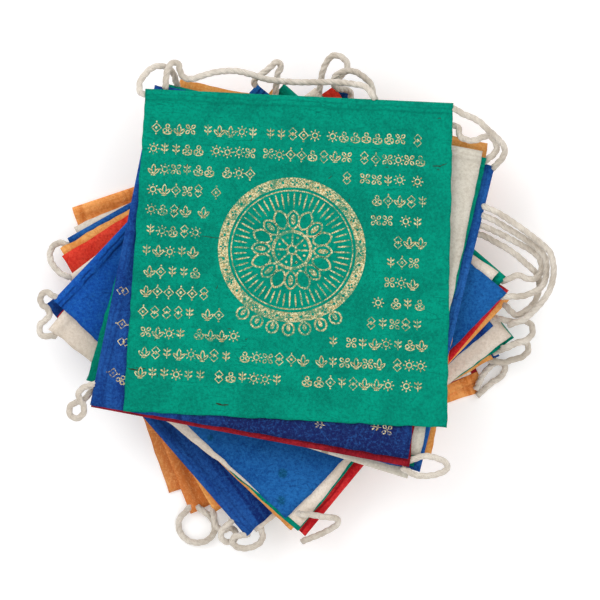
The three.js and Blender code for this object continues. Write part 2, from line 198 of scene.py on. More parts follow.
# %% A smooth line through a route's points
def smooth_line(points, steps=24):
    """The centripetal Catmull-Rom curve through the points, as a list of close points."""
    posts = [2 * points[0] - points[1], *points, 2 * points[-1] - points[-2]]
    line = []
    for k in range(len(points) - 1):
        a, b, c, d = posts[k : k + 4]
        times = [0.0]
        for one, other in ((a, b), (b, c), (c, d)):
            times.append(times[-1] + math.sqrt((other - one).length))
        ta, tb, tc, td = times
        for step in range(steps):
            t = tb + (tc - tb) * step / steps
            first = a.lerp(b, (t - ta) / (tb - ta))
            middle = b.lerp(c, (t - tb) / (tc - tb))
            last = c.lerp(d, (t - tc) / (td - tc))
            early = first.lerp(middle, (t - ta) / (tc - ta))
            late = middle.lerp(last, (t - tb) / (td - tb))
            line.append(early.lerp(late, (t - tb) / (tc - tb)))
    line.append(points[-1])
    return line


def evenly(line, step):
    """The same line, as points an even step apart."""
    lengths = [0.0]
    for one, other in zip(line, line[1:]):
        lengths.append(lengths[-1] + (other - one).length)
    count = max(2, round(lengths[-1] / step))
    spaced = []
    k = 0
    for n in range(count + 1):
        want = lengths[-1] * n / count
        while k < len(line) - 2 and lengths[k + 1] < want:
            k += 1
        share = (want - lengths[k]) / max(1e-9, lengths[k + 1] - lengths[k])
        spaced.append(line[k].lerp(line[k + 1], share))
    return spaced, lengths[-1]

# %% [markdown]
# The cotton cord is three strands laid together. A round tube with a painted twist would
# stay smooth at its edge, so the twist is in the shape: the section has three lobes and
# turns along the cord. A flat grid is rolled up into the tube, each of its points placed
# by its turn and its distance along the route, and the seam is merged. No cut end may
# show, so each length goes on a little past its route, inwards and down. Where that is
# not enough to bring it under the paper, a step in millimetres is given.

# %% Cotton cord
STRANDS = 3
LAY_LENGTH = 12 * MM
FULLNESS = 0.96
GROOVE = 0.24
UNEVENNESS = 0.06
UNEVEN_LENGTH = 6 * MM
RING_SIDES = 18
RING_STEP = 0.75 * MM
TUCK_IN = 3.2 * MM
TUCK_DOWN = 2.4 * MM
LOWEST_TUCK = CORD * 0.55
TUCKS = {
    "loop_top_left": {"head": (3.5, -1, -2)},
    "tail": {"head": (-0.3, -2.4, -4.5), "foot": (1.2, -1.6, -5)},
    "loop_top_middle": {"head": (1.5, -4, -2), "foot": (-0.3, -6, -1.5)},
    "loop_top_twist": {"head": (1.5, -8, 0), "foot": (0.3, -5, -1)},
    "loop_right_top": {"head": (-3, 1.2, -2.5), "foot": (-1.2, -1.4, -4)},
    "loop_right_inner": {"head": (-5, 1, -1)},
    "strand_high": {"head": (-1.2, 0.6, -4.5)},
    "loop_right_mid": {"head": (-4.5, 1.2, -3.5)},
    "loop_right_low": {"head": (-4.5, -1.7, -2.4)},
    "loop_red_hem": {"head": (-3.6, 0.7, -5)},
}


def finished_object(name, mesh_builder, material, smooth=True):
    """Turns a bmesh into an object at the origin with one material."""
    mesh = bpy.data.meshes.new(name)
    mesh_builder.to_mesh(mesh)
    mesh_builder.free()
    for face in mesh.polygons:
        face.use_smooth = smooth
    mesh.materials.append(material)
    piece = bpy.data.objects.new(name, mesh)
    bpy.context.collection.objects.link(piece)
    return piece


def lobed(turn, place, seed):
    """How far the cord's surface is from its centreline: three strands, a little uneven."""
    groove = 1 - abs(math.cos(STRANDS * turn / 2))
    uneven = noise.noise(Vector((place / UNEVEN_LENGTH, seed * 3.7 + math.cos(turn), math.sin(turn))))
    return CORD / 2 * (FULLNESS - GROOVE * groove**1.5 + UNEVENNESS * uneven)


def tucked(end, beside):
    """Where the cord goes on from its end: inwards and down, under the hem's paper or the sheet."""
    inner = end + (end - beside).normalized() * TUCK_IN
    inner.z = max(end.z - TUCK_DOWN, LOWEST_TUCK)
    return inner


def twisted_cord(name, route, tucks, seed, material):
    """A length of cord along its route, tucked a little way into the hems at its ends."""
    points = [PHOTO_MIDDLE + Vector(point) * MM for point in route]
    head = tucked(points[0], points[1])
    foot = tucked(points[-1], points[-2])
    if "head" in tucks:
        head = points[0] + Vector(tucks["head"]) * MM
    if "foot" in tucks:
        foot = points[-1] + Vector(tucks["foot"]) * MM
    line = smooth_line([head, *points, foot])
    line, length = evenly(line, RING_STEP)
    shape = bmesh.new()
    shape.loops.layers.uv.new("lay")
    bmesh.ops.create_grid(shape, x_segments=RING_SIDES, y_segments=len(line) - 1, size=0.5, calc_uvs=True)
    sideways = (line[1] - line[0]).orthogonal().normalized()
    frames = []
    for k, place in enumerate(line):
        ahead = (line[min(k + 1, len(line) - 1)] - line[max(k - 1, 0)]).normalized()
        sideways = (sideways - ahead * sideways.dot(ahead)).normalized()
        frames.append((place, sideways.copy(), ahead.cross(sideways)))
    for vert in shape.verts:
        turn = (vert.co.x + 0.5) * 2 * math.pi
        k = round((vert.co.y + 0.5) * (len(line) - 1))
        along = length * k / (len(line) - 1)
        radius = lobed(turn, along, seed)
        angle = turn + 2 * math.pi * along / LAY_LENGTH
        place, side, up = frames[k]
        vert.co = place + side * (radius * math.cos(angle)) + up * (radius * math.sin(angle))
    bmesh.ops.remove_doubles(shape, verts=shape.verts, dist=0.01 * MM)
    bmesh.ops.holes_fill(shape, edges=[edge for edge in shape.edges if edge.is_boundary], sides=0)
    bmesh.ops.recalc_face_normals(shape, faces=shape.faces)
    return finished_object(name, shape, material), line, length

# %% [markdown]
# Shader maths reads best as plain sums, so one small class wraps a socket and gives it
# the usual signs, and one method of a finish adds any node.

# %% A finish and its wires
MATT_SHINE = 0.06


class Wire:
    """An output of a node, or a number, that can be used in a sum."""

    def __init__(self, finish, socket):
        self.finish = finish
        self.socket = socket

    def sum(self, operation, one, other):
        return self.finish.node("ShaderNodeMath", {"operation": operation}, {0: one, 1: other})

    def __add__(self, other):
        return self.sum("ADD", self, other)

    def __sub__(self, other):
        return self.sum("SUBTRACT", self, other)

    def __rsub__(self, other):
        return self.sum("SUBTRACT", other, self)

    def __mul__(self, other):
        return self.sum("MULTIPLY", self, other)

    def __abs__(self):
        return self.sum("ABSOLUTE", self, 0)

    __radd__ = __add__
    __rmul__ = __mul__


class Finish:
    """A material in the making."""

    def __init__(self, name, roughness):
        self.material = bpy.data.materials.new(name)
        self.material.use_nodes = True
        self.tree = self.material.node_tree
        self.shader = self.tree.nodes["Principled BSDF"]
        self.shader.inputs["Roughness"].default_value = roughness
        self.shader.inputs["Specular IOR Level"].default_value = MATT_SHINE

    def node(self, kind, settings, inputs, output=0):
        """Adds a node: its settings first, then the values or wires of its sockets."""
        made = self.tree.nodes.new(kind)
        for name, value in settings.items():
            setattr(made, name, value)
        for name, value in inputs.items():
            if isinstance(value, Wire):
                self.tree.links.new(value.socket, made.inputs[name])
            else:
                made.inputs[name].default_value = value
        return Wire(self, made.outputs[output])

    def place(self):
        """Where a point of the surface is, in metres."""
        return self.node("ShaderNodeTexCoord", {}, {}, output="Object")

    def turned(self, place, scale, turn=0.0):
        """The place, turned about Z and then scaled each way, for a grain that runs one way."""
        spun = self.node("ShaderNodeMapping", {}, {"Vector": place, "Rotation": (0, 0, turn)})
        return self.node("ShaderNodeMapping", {}, {"Vector": spun, "Scale": scale})

    def cloud(self, place, scale, detail=4, rough=0.55, bend=0.0):
        """Noise from 0 to 1."""
        values = {"Vector": place, "Scale": scale, "Detail": detail, "Roughness": rough, "Distortion": bend}
        return self.node("ShaderNodeTexNoise", {}, values)

    def between(self, value, low, high):
        """0 under low, 1 over high, and a soft step in between."""
        settings = {"interpolation_type": "SMOOTHSTEP"}
        return self.node("ShaderNodeMapRange", settings, {0: value, 1: low, 2: high})

    def tint(self, share, one, other):
        """One colour turned into the other by a share."""
        return self.node("ShaderNodeMix", {"data_type": "RGBA"}, {0: share, 6: one, 7: other}, output=2)

    def wear(self, socket, wire):
        """Leads a wire into one of the shader's own sockets."""
        self.tree.links.new(wire.socket, self.shader.inputs[socket])

    def relief(self, height, deep):
        """Raises the surface by height, from 0 to 1, times deep in metres."""
        values = {"Height": height, "Distance": deep, "Strength": 1.0}
        self.wear("Normal", self.node("ShaderNodeBump", {}, values))


def linear(red, green, blue):
    """A colour picked from a screen, 0 to 255 a channel, as the light values that nodes use."""
    light = []
    for value in (red, green, blue):
        value /= 255
        light.append(value / 12.92 if value <= 0.04045 else ((value + 0.055) / 1.055) ** 2.4)
    return (*light, 1.0)

# %% [markdown]
# Cotton is matt and a little furry: it scatters light at its edges, which a sheen gives.
# Its strands are bundles of fine fibres, drawn here as thin streaks that follow the lay,
# so this finish reads the cord's own map, with the turn across and the length along.

# %% Cotton finish
def cotton(name):
    finish = Finish(name, roughness=0.9)
    finish.shader.inputs["Sheen Weight"].default_value = 0.35
    finish.shader.inputs["Sheen Roughness"].default_value = 0.6
    place = finish.place()
    lay = finish.node("ShaderNodeTexCoord", {}, {}, output="UV")
    streaks = finish.cloud(finish.turned(lay, (60, 30, 1), 0.25), 1.0, detail=3)
    dust = finish.cloud(place, 90, detail=3)
    fuzz = finish.cloud(place, 2600, detail=2)
    pale = finish.tint(finish.between(dust, 0.35, 0.65), linear(200, 189, 174), linear(226, 217, 204))
    soiled = finish.tint(finish.between(streaks, 0.48, 0.68) * 0.6, pale, linear(140, 122, 104))
    finish.wear("Base Color", soiled)
    finish.relief(streaks * 0.7 + fuzz * 0.5, 0.25 * MM)
    return finish.material


cotton_finish = cotton("Twisted_cotton")

# %% Lay the cord
for seed, (name, route) in enumerate(CORD_ROUTES.items()):
    piece, line, length = twisted_cord(f"cotton_{name}", route, TUCKS.get(name, {}), seed, cotton_finish)
    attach(piece, "root")
    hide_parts(f"cord_{name}")
    print(name, round(length * 1000), "mm")

# %% [markdown]
# The flags come next. A flag's shape is a square grid laid on its solid: four corners
# give its place from above, and the solid gives the height of its upper and under side
# at each point. The rows lie closer in the hem, where the paper turns over. The heights
# are smoothed, because the solid is made of flat facets, and then small creases go in.

# %% Corners of the flags
FLAGS = [
    ("orange", "left", (39, 98), (90, -46.5), (-66, -97), (-114.5, 46.5)),
    ("orange", "bottom", (31, 97), (91, -40), (-55, -107.5), (-111, 34)),
    ("red", "right", (30, 96), (89, -36), (-47, -96), (-110, 32)),
    ("white", "top", (32, 98.5), (86, -37), (-47, -94), (-113.5, 37)),
    ("blue", "left", (21, 109), (100, -28), (-41, -101.5), (-117, 31)),
    ("orange", "bottom", (19, 104.5), (97, -29.5), (-43, -106.5), (-120.5, 26)),
    ("red", "right", (17.5, 107.5), (96, -25), (-39.5, -104.5), (-119.5, 22)),
    ("green", "top", (10, 104), (107.5, -19), (-24, -112), (-114, 12)),
    ("white", "left", (7.5, 106.5), (106, -18), (-22, -116.5), (-115.5, 12.5)),
    ("blue", "bottom", (-4, 101.5), (97, -13), (-27, -118.5), (-127.5, -2.5)),
    ("orange", "right", (-13.5, 106), (105, 0), (-4.5, -115.5), (-119, -7.5)),
    ("red", "right", (-16, 101), (104.5, 4.5), (2.5, -118.5), (-122, -8.5)),
    ("green", "top", (-8, 108.5), (103.5, 11.5), (-1, -116), (-117, -14)),
    ("white", "left", (-30, 101.5), (99.5, 14), (0.5, -113.5), (-126, -14.5)),
    ("blue", "left", (-21.5, 108), (103.5, 3.5), (-7, -109.5), (-123.5, 0)),
    ("red", "bottom", (-58, 102), (85, 70), (50.5, -75), (-91, -43)),
    ("green", "top", (-65, 107), (81, 72), (41.5, -73), (-107, -40.5)),
    ("orange", "left", (-60, 110.5), (94, 78.5), (65.5, -79.5), (-91, -50)),
    ("white", "bottom", (-60, 105), (92, 60), (54, -89.5), (-98.5, -42.5)),
    ("blue", "right", (-61.5, 106), (97.5, 67), (60, -86), (-98, -48)),
    ("green", "top", (-66, 108), (93.5, 71), (56.5, -83), (-100, -46)),
    ("white", "top", (-67, 104.5), (91.5, 74.5), (60, -78.5), (-101.5, -45.5)),
    ("red", "bottom", (-70, 102.5), (73, 67.5), (54.5, -83.5), (-104.5, -53.5)),
    ("blue", "left", (-72.5, 107.5), (75.5, 79), (54, -79.5), (-105, -52.5)),
    ("green", "top", (-77, 105.5), (76.5, 98.5), (73.5, -64), (-88.5, -55.5)),
]
HEM_START = {"top": 0, "right": 1, "bottom": 2, "left": 3}

# %% A flag's grid
HEM_ROWS = 10
HEM_ZONE = 9 * MM
EDGE_INSET = 1.1 * MM
EDGE_WAVER = 0.6 * MM


class Flag:
    """A flag's outline from above, and the solid that gives its heights."""

    def __init__(self, number, row, cells):
        slot, hem, *corners = row
        first = HEM_START[hem]
        places = [PHOTO_MIDDLE.xy + Vector(corner) * MM for corner in corners]
        self.corners = [places[(first + k) % 4] for k in range(4)]
        self.number = number
        self.slot = slot
        self.name = f"{number:02d}_{slot}"
        self.cells = cells
        self.rows = cells + HEM_ROWS
        self.wide = (self.corners[1] - self.corners[0]).length
        self.deep = (self.corners[3] - self.corners[0]).length
        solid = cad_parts[f"flag_{self.name}"].data
        places = [vert.co for vert in solid.vertices]
        self.solid = BVHTree.FromPolygons(places, [list(face.vertices) for face in solid.polygons])

    def row_depth(self, j):
        """How far a row of the grid is from the hem's fold: close rows first, then even ones."""
        if j <= HEM_ROWS:
            return HEM_ZONE * j / HEM_ROWS
        return HEM_ZONE + (self.deep - HEM_ZONE) * (j - HEM_ROWS) / self.cells

    def spot(self, across, depth):
        """The place from above of a point: its share along the hem, its distance from it."""
        p0, p1, p2, p3 = self.corners
        return p0.lerp(p1, across).lerp(p3.lerp(p2, across), depth / self.deep)

    def sides(self, across, depth):
        """The heights of the solid's under side and upper side there."""
        share = min(max(across, EDGE_INSET / self.wide), 1 - EDGE_INSET / self.wide)
        depth = min(max(depth, EDGE_INSET), self.deep - EDGE_INSET)
        spot = self.spot(share, depth)
        upper = self.solid.ray_cast(Vector((*spot, 1)), Vector((0, 0, -1)))[0]
        under = self.solid.ray_cast(Vector((*spot, -1)), Vector((0, 0, 1)))[0]
        return under.z, upper.z

# %% Heights, smoothed and creased
SMOOTHINGS = 40
HEM_CROWN = 3.2 * MM
HEM_REACH = 8 * MM
HEM_RISE = 1.5 * MM
FLAP_END = 14 * MM
FLAP_STEP = 2.5 * MM
FLAP_THICK = 0.2 * MM
PAPER_LIFT = 0.25 * MM
LARGE_CREASE = 0.22 * MM
SMALL_CREASE = 0.07 * MM


def smoothed(heights, rounds):
    """A grid of heights with its facets rounded off; the edges keep their own line."""
    tall = len(heights)
    wide = len(heights[0])
    for _ in range(rounds):
        old = [row[:] for row in heights]
        for j in range(tall):
            above = old[max(j - 1, 0)]
            below = old[min(j + 1, tall - 1)]
            for i in range(wide):
                beside = old[j][max(i - 1, 0)] + old[j][min(i + 1, wide - 1)]
                heights[j][i] = (beside + above[i] + below[i]) / 4
    return heights


def crease(spot, seed):
    """Crumpled paper: sharp low ridges between soft hollows, in metres."""
    at = Vector((spot.x, spot.y, seed * 0.31))
    large = 1 - 2 * abs(noise.noise(at * 28))
    small = 1 - 2 * abs(noise.noise(at * 75))
    return LARGE_CREASE * (large - 0.6) + SMALL_CREASE * (small - 0.6)


def flap(depth):
    """The folded flap's second layer of paper, which ends in a soft step, in metres."""
    share = min(max((FLAP_END + FLAP_STEP - depth) / FLAP_STEP, 0.0), 1.0)
    return FLAP_THICK * share * share * (3 - 2 * share)


def roll(depth):
    """How high the hem stands above the plain paper at a distance from its fold, in metres."""
    if depth >= HEM_REACH:
        return 0.0
    if depth > HEM_CROWN:
        fall = (depth - HEM_CROWN) / (HEM_REACH - HEM_CROWN)
        return HEM_RISE * (0.5 + 0.5 * math.cos(math.pi * fall))
    return HEM_RISE * math.sqrt(1 - (1 - depth / HEM_CROWN) ** 2.2)


def flag_heights(flag):
    """The heights of the paper's under and upper side over the grid."""
    columns = [i / flag.cells for i in range(flag.cells + 1)]
    depths = [flag.row_depth(j) for j in range(flag.rows + 1)]
    sides = [[flag.sides(across, depth) for across in columns] for depth in depths]
    even = smoothed([[pair[0] for pair in row] for row in sides], SMOOTHINGS)
    under = []
    upper = []
    for j, depth in enumerate(depths):
        low_row = []
        high_row = []
        for i, across in enumerate(columns):
            floor, ceiling = sides[j][i]
            lift = even[j][i] + PAPER_LIFT + crease(flag.spot(across, depth), flag.number)
            low = max(min(lift, ceiling - SKIN - PAPER), floor + SKIN)
            if depth < HEM_REACH:
                low = floor + SKIN
            low_row.append(low)
            proud = roll(depth) + flap(depth)
            high_row.append(max(low + PAPER, min(low + PAPER + proud, ceiling - SKIN)))
        under.append(low_row)
        upper.append(high_row)
    return under, upper

# %% [markdown]
# The sheet itself is one closed piece of paper. Its free sides are torn, not cut, so
# they waver a little, and it carries a map of its own flat form for the finish to read.

# %% The paper sheet
TEAR = 160


def flat_map(shape, places):
    """Gives a shape a map from each vertex's place on the flat sheet, in metres."""
    layer = shape.loops.layers.uv.new("UVMap")
    for face in shape.faces:
        for corner in face.loops:
            corner[layer].uv = places[corner.vert]


def paper_sheet(flag, material):
    """One closed sheet: a grid for its upper side, extruded down to its under side."""
    under, upper = flag_heights(flag)
    shape = bmesh.new()
    bmesh.ops.create_grid(shape, x_segments=flag.cells, y_segments=flag.rows, size=0.5)
    top_verts = list(shape.verts)
    slots = [(round((v.co.x + 0.5) * flag.cells), round((v.co.y + 0.5) * flag.rows)) for v in top_verts]
    grown = bmesh.ops.extrude_face_region(shape, geom=shape.faces[:], use_keep_orig=True)["geom"]
    low_verts = [item for item in grown if isinstance(item, bmesh.types.BMVert)]
    places = {tuple(round(value, 6) for value in v.co): slot for v, slot in zip(top_verts, slots)}
    low_slots = [places[tuple(round(value, 6) for value in v.co)] for v in low_verts]
    on_sheet = {}
    for verts, grid_slots, heights in ((top_verts, slots, upper), (low_verts, low_slots, under)):
        for vert, (i, j) in zip(verts, grid_slots):
            across = i / flag.cells
            depth = flag.row_depth(j)
            spot = flag.spot(across, depth)
            waver = EDGE_WAVER * noise.noise(Vector((spot.x * TEAR, spot.y * TEAR, flag.number)))
            if i in (0, flag.cells):
                spot += (flag.corners[1] - flag.corners[0]).normalized() * waver
            if j == flag.rows:
                spot += (flag.corners[3] - flag.corners[0]).normalized() * waver
            vert.co = (*spot, heights[j][i])
            on_sheet[vert] = (across * flag.wide, depth)
    flat_map(shape, on_sheet)
    bmesh.ops.recalc_face_normals(shape, faces=shape.faces)
    return finished_object(f"paper_{flag.name}", shape, material)

# %% [markdown]
# The paper is made from long bark fibres, dyed in the pulp. Its colour is cloudy, with a
# coarse grain, paler fibres every way and thin dark hairs. Along the hem, where it is
# doubled, two folds run beside the edge, dented in the relief and darkened with painted
# shade; the sheet's own map tells how far that is.
# Some sheets differ in places: each such blot is soft and set by its place from above.
# Some blots are a deeper dye or a small stain; others are painted shade, where a sheet
# lies under others. A few have long darker and paler streaks as well, along their sides,
# which on the amber sheets are the painted light and shade of folds.

# %% Fibre paper finish
FIBRE_TURNS = (0.3, 1.4, 2.5)
FOLDS = (3.0 * MM, 5.4 * MM)


def blended_stain_and_shade(finish, colour, place, clouds, stain_and_shade):
    """Blends a soft blot of another colour in, round a place from above."""
    x, y = stain_and_shade["at"]
    centre = (PHOTO_MIDDLE.x + x * MM, PHOTO_MIDDLE.y + y * MM, 0)
    flat = finish.node("ShaderNodeVectorMath", {"operation": "MULTIPLY"}, {0: place, 1: (1, 1, 0)})
    ends = {0: flat, 1: centre}
    away = finish.node("ShaderNodeVectorMath", {"operation": "DISTANCE"}, ends, output="Value")
    ragged = away * (1 / (stain_and_shade["size"] * MM)) + (clouds - 0.5) * 1.6
    return finish.tint((1 - finish.between(ragged, 0.5, 1.0)) * stain_and_shade["share"], colour, stain_and_shade["colour"])


def fibre_paper(name, body, dark, pale, fold_shade_and_dent=0.3, streaks=None, stains_and_shade_blots=()):
    finish = Finish(name, roughness=0.88)
    place = finish.place()
    clouds = finish.cloud(place, 40, detail=6, rough=0.68, bend=0.5)
    grain = finish.cloud(place, 700, detail=4, rough=0.8)
    strands = []
    for turn in FIBRE_TURNS:
        strand = finish.cloud(finish.turned(place, (1300, 160, 300), turn), 1.0, detail=3, bend=0.6)
        strands.append(finish.between(strand, 0.54, 0.72))
    fibres = sum(strands)
    hairs = abs(finish.cloud(finish.turned(place, (34, 190, 60), 0.12), 1.0, detail=2, bend=0.5) - 0.5)
    hairs = (1 - finish.between(hairs, 0.0, 0.012)) * finish.between(clouds, 0.5, 0.6)
    colour = finish.tint(0.6, finish.tint(finish.between(clouds, 0.36, 0.64), dark, pale), body)
    # Soft blots: a deeper dye or small stains on some sheets, painted shade on others.
    for stain_and_shade in stains_and_shade_blots:
        colour = blended_stain_and_shade(finish, colour, place, clouds, stain_and_shade)
    # Long darker and paler bands along the sides; on the amber sheets they are painted light and shade of
    # folds.
    if streaks is not None:
        streak_and_fold_shade_bands = finish.cloud(finish.turned(place, (10, 110, 20), streaks), 1.0, detail=3, bend=0.3)
        colour = finish.tint(finish.between(streak_and_fold_shade_bands, 0.5, 0.62) * 0.85, colour, dark)
        colour = finish.tint((1 - finish.between(streak_and_fold_shade_bands, 0.34, 0.48)) * 0.45, colour, pale)
    colour = finish.tint(finish.between(grain, 0.48, 0.64) * 0.52, colour, dark)
    colour = finish.tint((1 - finish.between(grain, 0.36, 0.5)) * 0.38, colour, pale)
    colour = finish.tint(finish.between(fibres, 0.1, 1.5) * 0.4, colour, pale)
    colour = finish.tint(hairs * 0.55, colour, dark)
    sheet_map = finish.node("ShaderNodeTexCoord", {}, {}, output="UV")
    depth = finish.node("ShaderNodeSeparateXYZ", {}, {0: sheet_map}, output="Y") + (clouds - 0.5) * (4 * MM)
    lines = [1 - finish.between(abs(depth - at), 0.2 * MM, 0.7 * MM) for at in FOLDS]
    fold = sum(lines) * finish.between(clouds, 0.36, 0.5)
    # Painted shade: the paper is darkened along the hem's two fold lines; the relief below also dents them.
    colour = finish.tint(fold * fold_shade_and_dent, colour, dark)
    finish.wear("Base Color", colour)
    finish.wear("Roughness", 0.82 + grain * 0.14)
    finish.relief(grain * 0.7 + fibres * 0.2 + clouds * 0.5 - hairs * 0.3 - fold * 0.4 * fold_shade_and_dent, 0.35 * MM)
    return finish.material


SPOT = linear(0, 66, 84)
DYES_AND_PAINTED_SHADE = {
    "green": (linear(0, 134, 111), linear(0, 96, 82), linear(0, 158, 130)),
    "blue": (linear(24, 80, 152), linear(10, 40, 100), linear(54, 116, 186)),
    "deep": (linear(22, 68, 140), linear(14, 30, 92), linear(44, 100, 172)),
    "sky": (linear(20, 84, 150), linear(12, 48, 112), linear(44, 116, 184)),
    "red": (linear(232, 54, 40), linear(186, 34, 30), linear(242, 94, 70)),
    "crimson": (linear(206, 32, 40), linear(150, 16, 28), linear(226, 66, 64)),
    # A darker copy of the red: painted shade, for red sheets seen only as slivers in shadow.
    "red_in_painted_shade": (linear(142, 22, 36), linear(88, 10, 24), linear(176, 44, 52)),
    "orange": (linear(238, 162, 84), linear(204, 122, 56), linear(248, 192, 122)),
    "amber_with_painted_shade": (linear(250, 158, 80), linear(208, 116, 52), linear(254, 190, 120)),
    "white": (linear(208, 202, 188), linear(178, 168, 152), linear(224, 218, 206)),
    "cream": (linear(230, 216, 200), linear(202, 188, 170), linear(240, 230, 218)),
}
DYES_AND_PAINTED_SHADE["navy_dye_and_painted_shade"] = DYES_AND_PAINTED_SHADE["deep"]
DETAILS = {
    "deep": {"streaks": 0.96},
    # Darker towards the lower strip, below the top flag's edge: partly a darker navy dye, partly painted
    # shade.
    "navy_dye_and_painted_shade": {"stains_and_shade_blots": [{"at": (5, -74), "size": 84, "colour": linear(24, 26, 72), "share": 0.9}]},
    "sky": {
        "fold_shade_and_dent": 0.9,
        "stains_and_shade_blots": [
            {"at": (-104, 22), "size": 52, "colour": linear(24, 82, 176), "share": 0.8},
            {"at": (-8.5, -87), "size": 3.4, "colour": SPOT, "share": 0.75},
            {"at": (-9.5, -100.5), "size": 3.8, "colour": SPOT, "share": 0.75},
            {"at": (-45, -69), "size": 2.0, "colour": SPOT, "share": 0.6},
        ],
    },
    "crimson": {"fold_shade_and_dent": 0.8},
    # Amber sheets: darker towards the lower left, which is painted shade; their streaks are painted light
    # and shade of folds.
    "amber_with_painted_shade": {
        "streaks": 1.2,
        "stains_and_shade_blots": [{"at": (-60, -92), "size": 80, "colour": linear(190, 104, 54), "share": 0.75}],
    },
    "white": {"stains_and_shade_blots": [{"at": (12.5, -76), "size": 2.6, "colour": linear(128, 106, 72), "share": 0.7}]},
}
papers = {}
for colouring, colours in DYES_AND_PAINTED_SHADE.items():
    papers[colouring] = fibre_paper(f"Fibre_paper_{colouring}", *colours, **DETAILS.get(colouring, {}))
print("paper finishes:", ", ".join(papers))

# %% [markdown]
# The flags are laid from the lowest up. A few have a finish of their own, paler, darker
# or streaked, and on some of these the darkness is painted shade. The printed one on top
# has a finer grid.

# %% Lay the flags
SPECIAL_DYES_AND_SHADE = {
    1: "amber_with_painted_shade", 2: "amber_with_painted_shade", 3: "red_in_painted_shade", 4: "cream", 9: "cream", 10: "deep", 12: "crimson",
    14: "cream", 15: "sky", 23: "red_in_painted_shade", 24: "navy_dye_and_painted_shade",
}
CELLS = 46
TOP_CELLS = 110

flags = []
sheets = {}
for number, row in enumerate(FLAGS, start=1):
    flag = Flag(number, row, TOP_CELLS if number == len(FLAGS) else CELLS)
    colouring = SPECIAL_DYES_AND_SHADE.get(number, flag.slot)
    piece = paper_sheet(flag, papers[colouring])
    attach(piece, "root")
    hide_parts(f"flag_{flag.name}")
    below = [sheets[number - 1].name] if number > 1 else []
    flags.append(flag)
    sheets[number] = piece
    print(piece.name, len(piece.data.polygons), "faces")

# %% [markdown]
# The uppermost flag is printed in pale gold from a carved block: rows of small ornaments
# and a round one in the middle. Each ornament here is a plain traditional form made of
# circles, arcs and petals, drawn flat in millimetres, laid on the paper by its distance
# across and down the flag, and given the thickness of dried ink.

# %% Forms of the block print
FULL_TURN = 2 * math.pi
STROKE = 0.62
INK = 0.07 * MM
INK_DEPTH = 0.06 * MM
GAP_LIFT = 0.12 * MM


def dot(ink, x, y, radius, sides=8):
    place = Matrix.Translation((x, y, 0))
    bmesh.ops.create_circle(ink, cap_ends=True, segments=sides, radius=radius, matrix=place)


def arc(ink, x, y, radius, start=0.0, sweep=FULL_TURN, steps=12, stroke=STROKE):
    """A band along part of a circle; with four steps all round it is a lozenge's outline."""
    direction = Vector((math.cos(start), math.sin(start), 0))
    ends = [ink.verts.new(Vector((x, y, 0)) + direction * (radius + side * stroke / 2)) for side in (-1, 1)]
    edge = ink.edges.new(ends)
    bmesh.ops.spin(ink, geom=[*ends, edge], cent=(x, y, 0), axis=(0, 0, 1), angle=sweep, steps=steps,
                   use_merge=sweep >= FULL_TURN)


def petal(ink, x, y, turn, near, far, width, steps=5, stroke=STROKE):
    """A petal's outline, from near to far along a direction: two arcs that meet in points."""
    half = (far - near) / 2
    bow = (half**2 + width**2 / 4) / width
    spread = math.asin(half / bow)
    along = Vector((math.cos(turn), math.sin(turn)))
    middle = Vector((x, y)) + along * (near + half)
    for side in (1, -1):
        across = Vector((-along.y, along.x)) * side
        centre = middle - across * (bow - width / 2)
        start = math.atan2(across.y, across.x) - spread
        arc(ink, centre.x, centre.y, bow, start, 2 * spread, steps, stroke)


def leaf(ink, x, y, turn, near, far, width, sides=6):
    """A solid leaf: a circle drawn out along a direction."""
    centre = Vector((x, y, 0)) + Vector((math.cos(turn), math.sin(turn), 0)) * (near + far) / 2
    shape = Matrix.Translation(centre) @ Matrix.Rotation(turn, 4, "Z")
    shape = shape @ Matrix.Diagonal(((far - near) / 2, width / 2, 1, 1))
    bmesh.ops.create_circle(ink, cap_ends=True, segments=sides, radius=1, matrix=shape)

# %% Small ornaments of the rows
UP = math.pi / 2


def blossom(ink, x, y):
    dot(ink, x, y, 0.5)
    for k in range(4):
        petal(ink, x, y, UP * k + UP / 2, 0.9, 3.0, 1.5, steps=4, stroke=0.5)


def gem(ink, x, y):
    arc(ink, x, y, 2.3, start=UP, steps=4)
    dot(ink, x, y, 0.7)
    for side in (-1, 1):
        dot(ink, x, y + 3.1 * side, 0.42, sides=6)


def bud(ink, x, y):
    petal(ink, x, y - 2.6, UP, 0.4, 5.2, 1.9, steps=4, stroke=0.5)
    for side in (-1, 1):
        petal(ink, x, y - 2.6, UP + 0.75 * side, 0.6, 3.9, 1.3, steps=4, stroke=0.5)
    leaf(ink, x, y - 2.8, 0, -1.3, 1.3, 0.6)


def three_jewels(ink, x, y):
    for turn in (UP, UP + 2.1, UP - 2.1):
        arc(ink, x + 1.45 * math.cos(turn), y + 1.45 * math.sin(turn), 0.95, steps=8, stroke=0.5)
    arc(ink, x, y + 0.4, 3.0, start=-2.4, sweep=1.66, steps=5, stroke=0.5)


def sprig(ink, x, y):
    leaf(ink, x, y, UP, -3.1, 3.1, 0.55)
    for rise in (-1.6, 0.4):
        for side in (-1, 1):
            leaf(ink, x, y + rise, UP - 0.9 * side, 0.5, 2.4, 0.9)


def lattice(ink, x, y):
    for rise in (-1.2, 1.2):
        arc(ink, x, y + rise, 1.9, start=UP, steps=4, stroke=0.5)
    dot(ink, x, y, 0.45, sides=6)


def sun(ink, x, y):
    arc(ink, x, y, 1.3, steps=10, stroke=0.55)
    for k in range(8):
        leaf(ink, x, y, k * UP / 2, 1.9, 3.0, 0.6)


ORNAMENTS = [blossom, gem, bud, three_jewels, sprig, lattice, sun]
print("small ornaments:", ", ".join(ornament.__name__ for ornament in ORNAMENTS))

